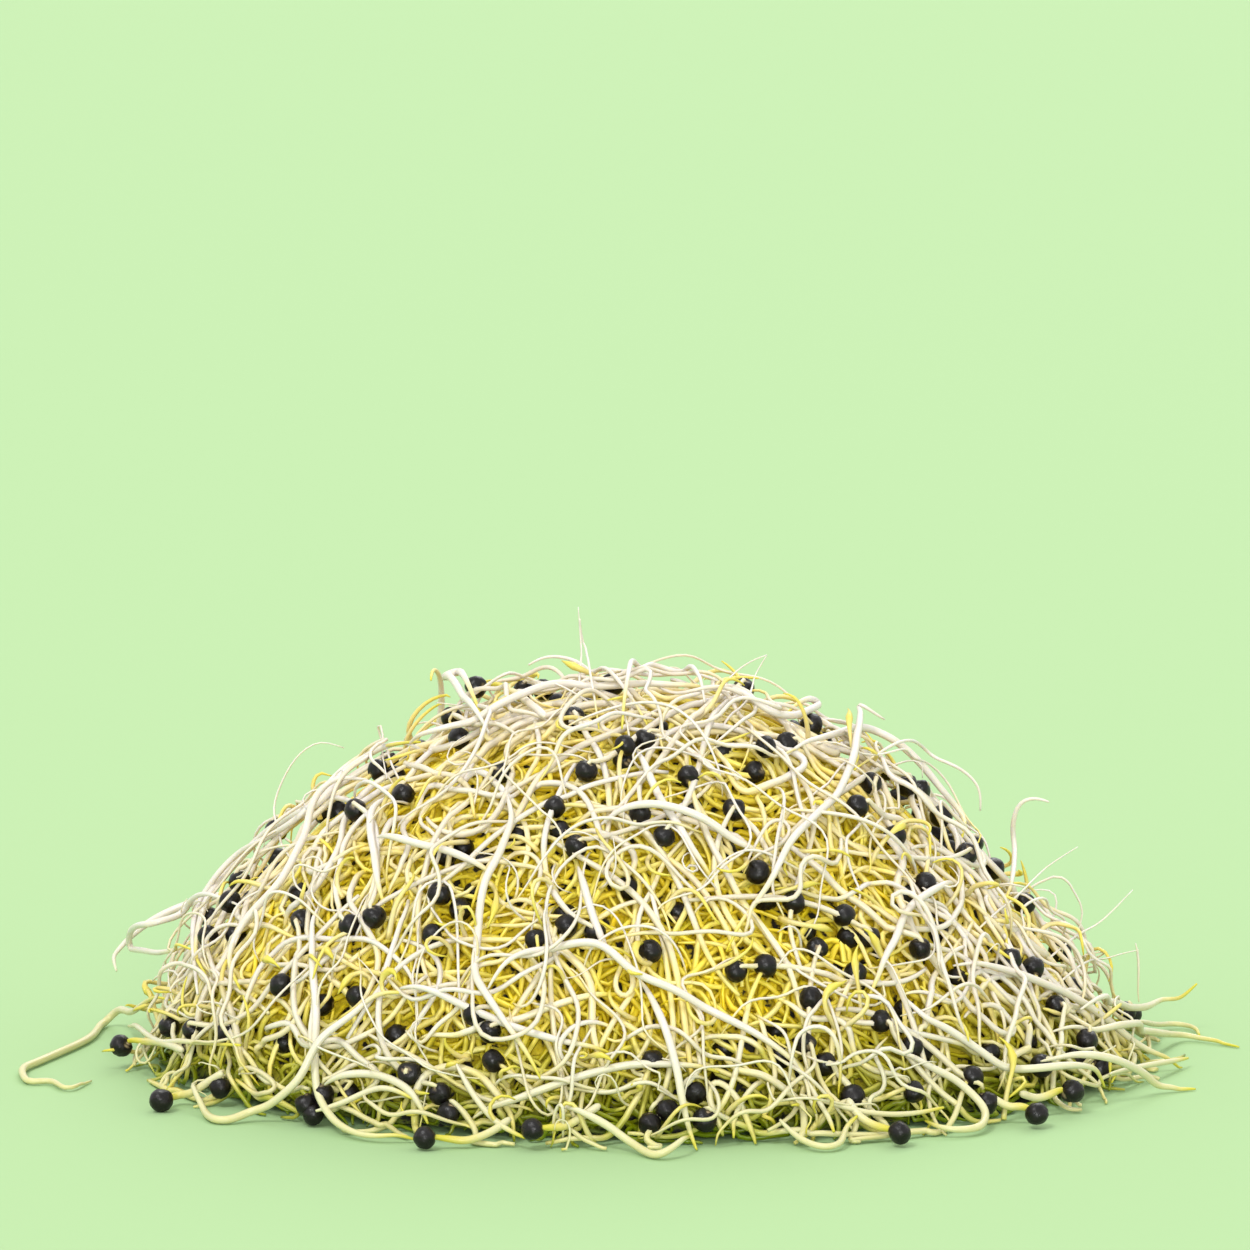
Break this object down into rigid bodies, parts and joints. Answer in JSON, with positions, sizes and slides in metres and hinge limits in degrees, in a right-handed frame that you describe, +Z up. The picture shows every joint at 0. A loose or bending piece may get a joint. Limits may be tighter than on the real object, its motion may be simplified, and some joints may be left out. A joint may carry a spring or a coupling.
{
  "type": "onion sprouts",
  "caption": "Loose tangled heap of fresh onion sprouts, white shoots with yellow seed leaves, many still tipped with their black seed coats.",
  "frame": {"origin": "on the ground, at the middle of the flat spot under the heap that it rests on", "axes": "+X along the heap's length, to the right as the picture shows it; +Y away from the front; +Z up"},
  "size_m": [0.1561, 0.1219, 0.0557],
  "materials": {
    "sprout": "satin",
    "seed_coat": "satin"
  },
  "bodies": {
    "root": {"seed_coat_crown": "seed_coat", "seed_coat_front": "seed_coat", "seed_coat_front_left": "seed_coat", "seed_coat_front_right": "seed_coat", "seed_coat_left": "seed_coat", "seed_coat_left_front": "seed_coat", "seed_coat_right": "seed_coat", "seed_coat_right_front": "seed_coat", "seeded_sprout_crown": "sprout", "seeded_sprout_front": "sprout", "seeded_sprout_front_left": "sprout", "seeded_sprout_front_right": "sprout", "seeded_sprout_left": "sprout", "seeded_sprout_left_front": "sprout", "seeded_sprout_right": "sprout", "seeded_sprout_right_front": "sprout", "sprout_back_01": "sprout", "sprout_back_02": "sprout", "sprout_back_03": "sprout", "sprout_back_04": "sprout", "sprout_back_05": "sprout", "sprout_back_06": "sprout", "sprout_back_07": "sprout", "sprout_back_08": "sprout", "sprout_centre_bow": "sprout", "sprout_centre_diagonal": "sprout", "sprout_centre_drop": "sprout", "sprout_crown_arch": "sprout", "sprout_crown_hairpin": "sprout", "sprout_crown_hook": "sprout", "sprout_crown_line": "sprout", "sprout_crown_root": "sprout", "sprout_far_left_curl": "sprout", "sprout_far_right_leaf": "sprout", "sprout_far_right_line": "sprout", "sprout_far_right_low": "sprout", "sprout_front_arch": "sprout", "sprout_front_fall": "sprout", "sprout_front_foot_bow": "sprout", "sprout_front_left_wave": "sprout", "sprout_front_low_line": "sprout", "sprout_left_front_hook": "sprout", "sprout_left_front_sweep": "sprout", "sprout_left_hairpin": "sprout", "sprout_left_inner_arc": "sprout", "sprout_left_middle": "sprout", "sprout_left_outer_arc": "sprout", "sprout_left_shoulder_drop": "sprout", "sprout_left_upright": "sprout", "sprout_long_s": "sprout", "sprout_right_crown_loop": "sprout", "sprout_right_foot_loop": "sprout", "sprout_right_front_sweep": "sprout", "sprout_right_hairpin": "sprout", "sprout_right_long_line": "sprout", "sprout_right_middle": "sprout", "sprout_right_shoulder": "sprout", "sprout_right_shoulder_root": "sprout", "sprout_right_upright": "sprout", "tangle": "sprout"}
  },
  "joints": []
}
